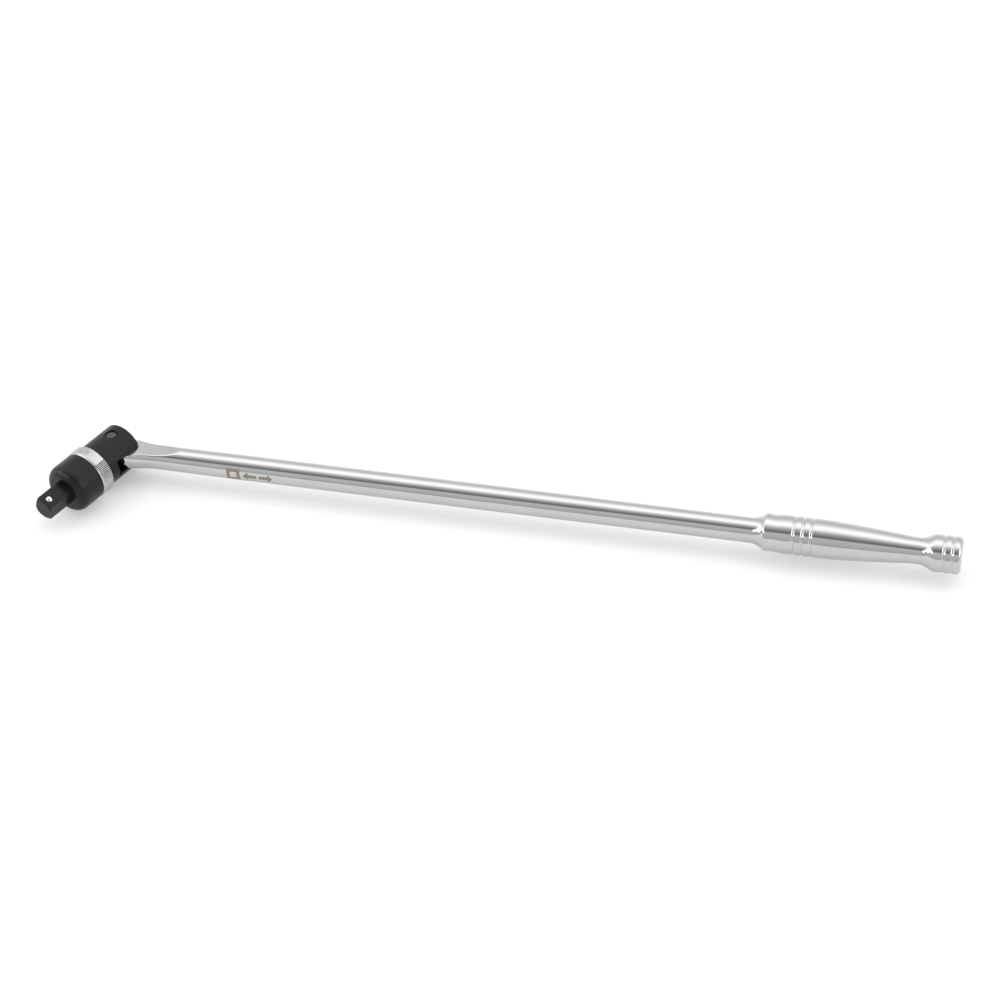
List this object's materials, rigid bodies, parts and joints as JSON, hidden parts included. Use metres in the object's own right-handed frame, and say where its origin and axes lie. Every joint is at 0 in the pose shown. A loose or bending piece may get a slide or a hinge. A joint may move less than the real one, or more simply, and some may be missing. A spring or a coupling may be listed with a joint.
{
  "type": "ratcheting flex-head breaker bar",
  "caption": "Long chrome turning bar with a tilting black ratchet head, a satin reversing ring and a male drive square with a retaining ball.",
  "frame": {"origin": "centre of the drive square's tip face", "axes": "+X along the handle towards the end of its grip, +Z along the pivot pin"},
  "size_m": [0.6167, 0.0839, 0.036],
  "materials": {
    "chrome_plate": "polished chrome plate",
    "black_phosphate": "satin black phosphate",
    "satin_chrome": "satin chrome",
    "pin_steel": "oiled steel",
    "ball_steel": "polished steel",
    "spring_steel": "drawn wire",
    "pawl_steel": "hardened steel",
    "seal_rubber": "soft black"
  },
  "bodies": {
    "handle": {"handle_bar": "chrome_plate"},
    "head": {"head_yoke": "black_phosphate", "pivot_pin": "pin_steel", "friction_spring": "spring_steel", "selector_spring": "spring_steel", "pawl_pin_forward": "pin_steel", "pawl_pin_reverse": "pin_steel", "pawl_spring_forward": "spring_steel", "pawl_spring_reverse": "spring_steel", "seal_ring": "seal_rubber", "retaining_ring": "spring_steel", "thrust_washer": "pin_steel"},
    "friction_ball": {"friction_ball": "ball_steel"},
    "selector": {"selector_ring": "satin_chrome"},
    "selector_ball": {"selector_ball": "ball_steel"},
    "pawl_forward": {"pawl_forward": "pawl_steel"},
    "pawl_reverse": {"pawl_reverse": "pawl_steel"},
    "drive": {"drive_housing": "black_phosphate", "socket_spring": "spring_steel"},
    "socket_ball": {"socket_ball": "ball_steel"}
  },
  "joints": [
    {"name": "head_tilt", "type": "hinge", "parent": "handle", "child": "head", "pos_m": [0.02557, 0.06731, 0], "axis": [0, 0, 1], "range_deg": [-159.2, 20.8]},
    {"name": "friction_ball_press", "type": "slide", "parent": "head", "child": "friction_ball", "axis": [-0.3551, -0.9348, 0], "range_m": [0, 0.0004], "stiffness_N_per_m": 2000, "springref_m": -0.001, "deforming": ["friction_spring"]},
    {"name": "selector_turn", "type": "hinge", "parent": "head", "child": "selector", "pos_m": [0.01651, 0.04347, 0], "axis": [-0.3551, -0.9348, 0], "range_deg": [0, 30]},
    {"name": "selector_ball_press", "type": "slide", "parent": "head", "child": "selector_ball", "axis": [0.9348, -0.3551, 0], "range_m": [0, 0.0004], "stiffness_N_per_m": 2000, "springref_m": -0.001, "deforming": ["selector_spring"]},
    {"name": "pawl_forward_tilt", "type": "hinge", "parent": "head", "child": "pawl_forward", "pos_m": [0.01819, 0.03267, 0.0074], "axis": [-0.3551, -0.9348, 0], "range_deg": [0, 12], "deforming": ["pawl_spring_forward"]},
    {"name": "pawl_reverse_tilt", "type": "hinge", "parent": "head", "child": "pawl_reverse", "pos_m": [0.01819, 0.03267, -0.0074], "axis": [-0.3551, -0.9348, 0], "range_deg": [0, 12], "deforming": ["pawl_spring_reverse"]},
    {"name": "drive_spin", "type": "hinge", "parent": "head", "child": "drive", "pos_m": [0.01136, 0.02991, 0], "axis": [-0.3551, -0.9348, 0], "continuous": true},
    {"name": "socket_ball_press", "type": "slide", "parent": "drive", "child": "socket_ball", "axis": [-0.2733, 0.1038, -0.9563], "range_m": [0, 0.0012], "stiffness_N_per_m": 2000, "springref_m": -0.001, "deforming": ["socket_spring"]}
  ],
  "couplings": [
    {"joint": "pawl_forward_tilt", "follows": "selector_turn", "ratio": 0.4},
    {"joint": "pawl_reverse_tilt", "follows": "selector_turn", "ratio": 0.4}
  ]
}
